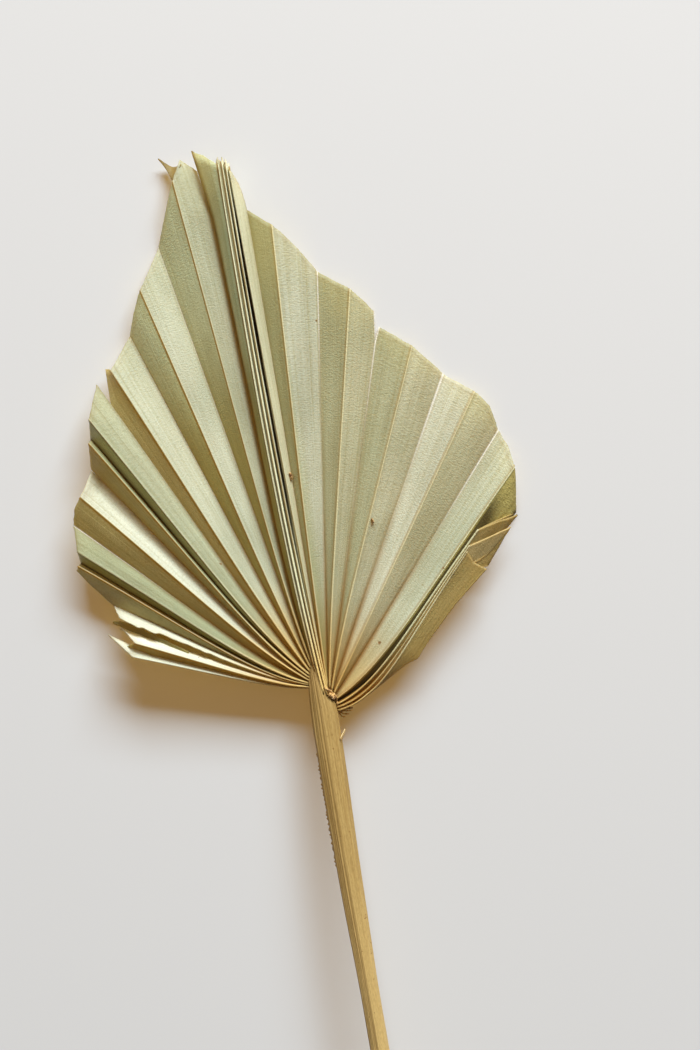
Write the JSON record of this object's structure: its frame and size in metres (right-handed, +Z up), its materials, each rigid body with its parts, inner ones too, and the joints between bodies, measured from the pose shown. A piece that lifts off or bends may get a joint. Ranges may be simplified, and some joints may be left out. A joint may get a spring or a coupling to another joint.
{
  "type": "dried palm spear",
  "caption": "Dried fan-palm leaf trimmed to a pointed spear outline, with deep radiating pleats, torn lower corners and a long straw-coloured stalk, for dried arrangements.",
  "frame": {"origin": "middle of the leaf's outline on the surface that it lies on", "axes": "+Y along the stalk towards the blade's tip, +Z up out of the surface, +X to the right of someone who looks down with the tip pointing away"},
  "size_m": [0.119, 0.3996, 0.0135],
  "materials": {
    "dried_blade": "matt sage-green to straw dried leaf with cream fold lines",
    "dried_stalk": "satin golden straw stalk with fine lengthways fibres"
  },
  "bodies": {
    "root": {"leaf_blade": "dried_blade", "leaf_stalk": "dried_stalk"}
  },
  "joints": []
}
